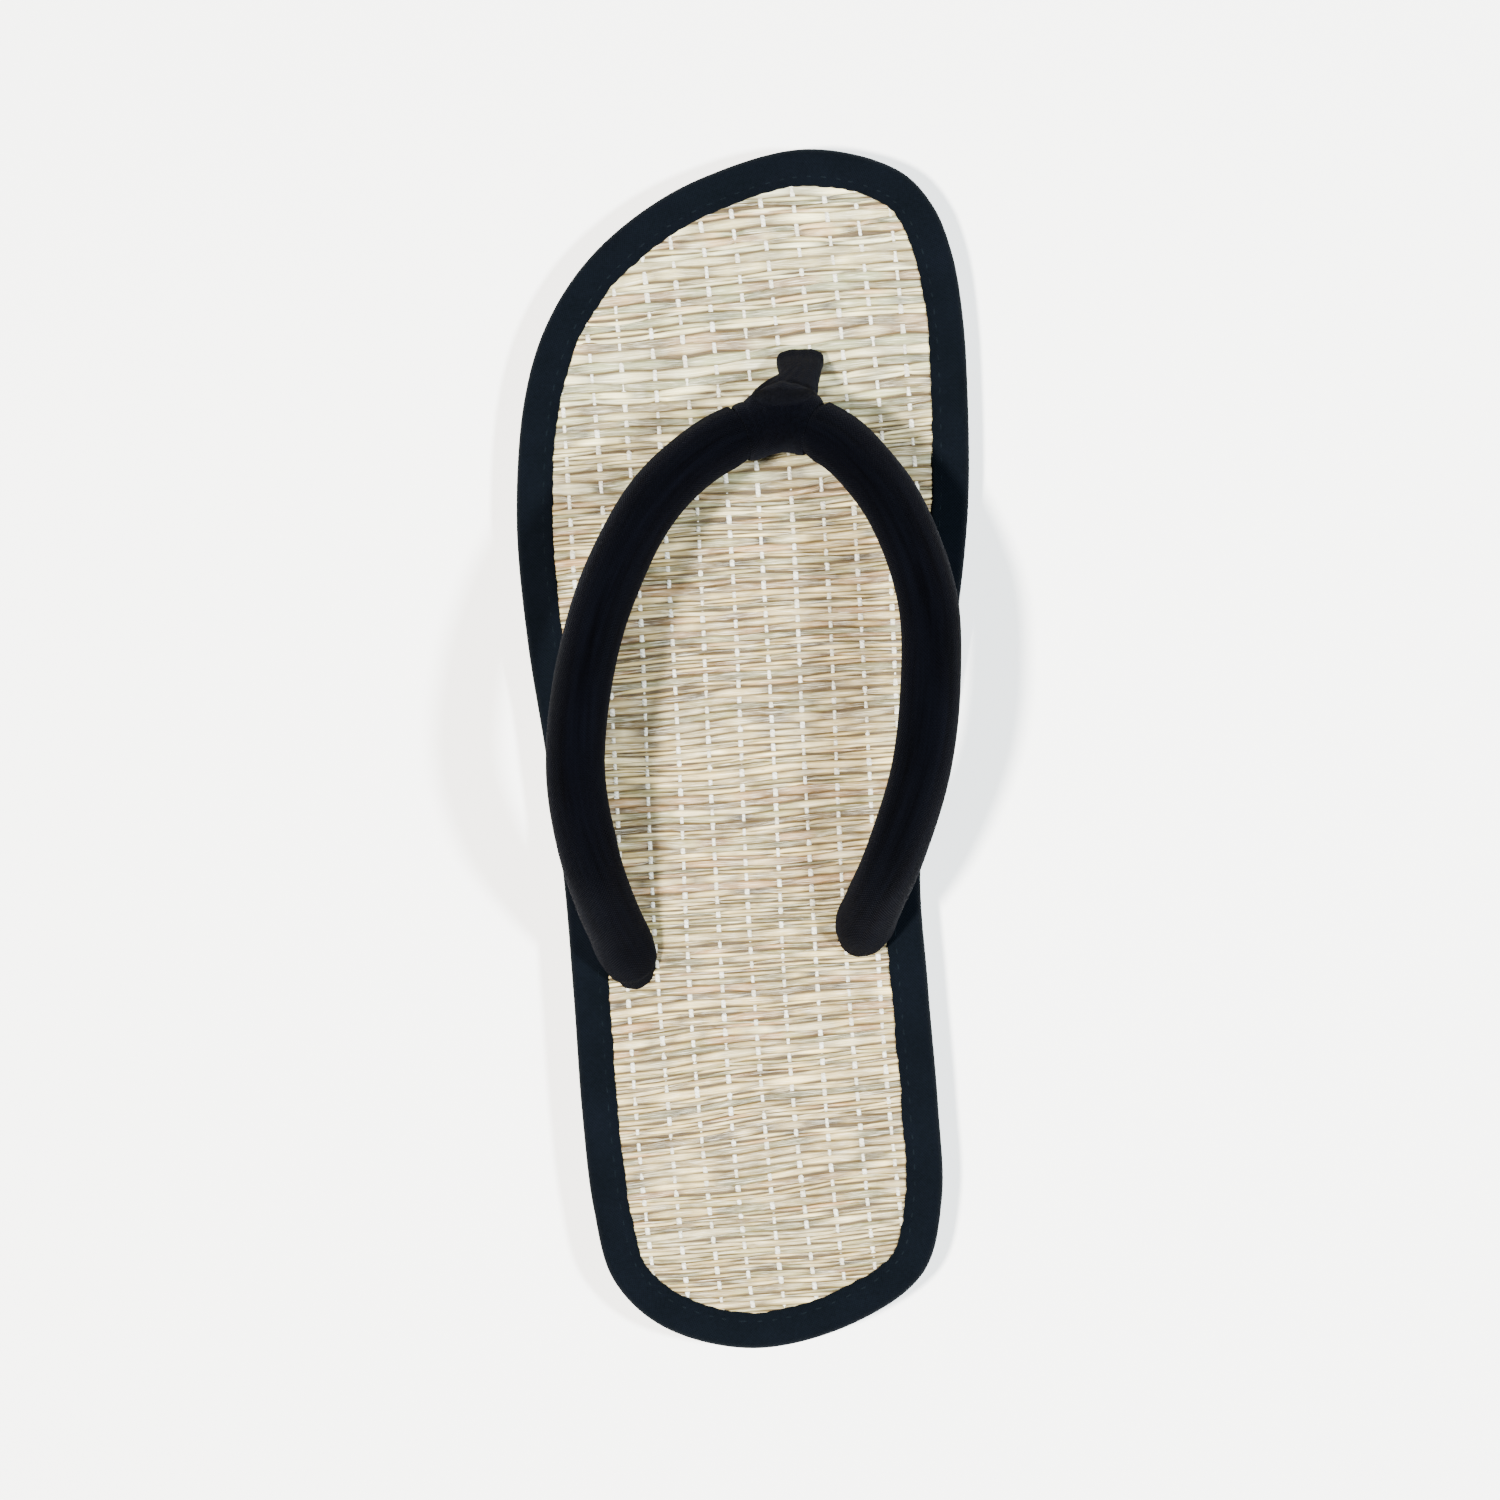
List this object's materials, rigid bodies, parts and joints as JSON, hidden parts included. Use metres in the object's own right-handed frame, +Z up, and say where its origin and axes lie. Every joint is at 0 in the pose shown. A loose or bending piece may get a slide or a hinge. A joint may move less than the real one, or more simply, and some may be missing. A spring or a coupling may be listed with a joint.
{
  "type": "woven mat slipper",
  "caption": "Flat open slipper for the left foot: foam sole, woven reed mat with a cloth-bound edge, padded strap over the foot and a thong between the toes.",
  "frame": {"origin": "on the ground, under the middle of the outline's length and width", "axes": "+Y from heel to toe, +X to the big toe side, +Z up"},
  "size_m": [0.0978, 0.256, 0.0568],
  "materials": {
    "outsole": "matte black foam rubber",
    "mat": "woven dried reed with white cotton warp, satin",
    "binding": "smooth dark blue-black cloth tape",
    "strap": "black padded cloth, matt and slightly fuzzy",
    "toe_thong": "black cloth wrap, matt and slightly fuzzy"
  },
  "bodies": {
    "root": {"outsole": "outsole", "mat": "mat", "binding": "binding", "strap": "strap", "toe_thong": "toe_thong"}
  },
  "joints": []
}
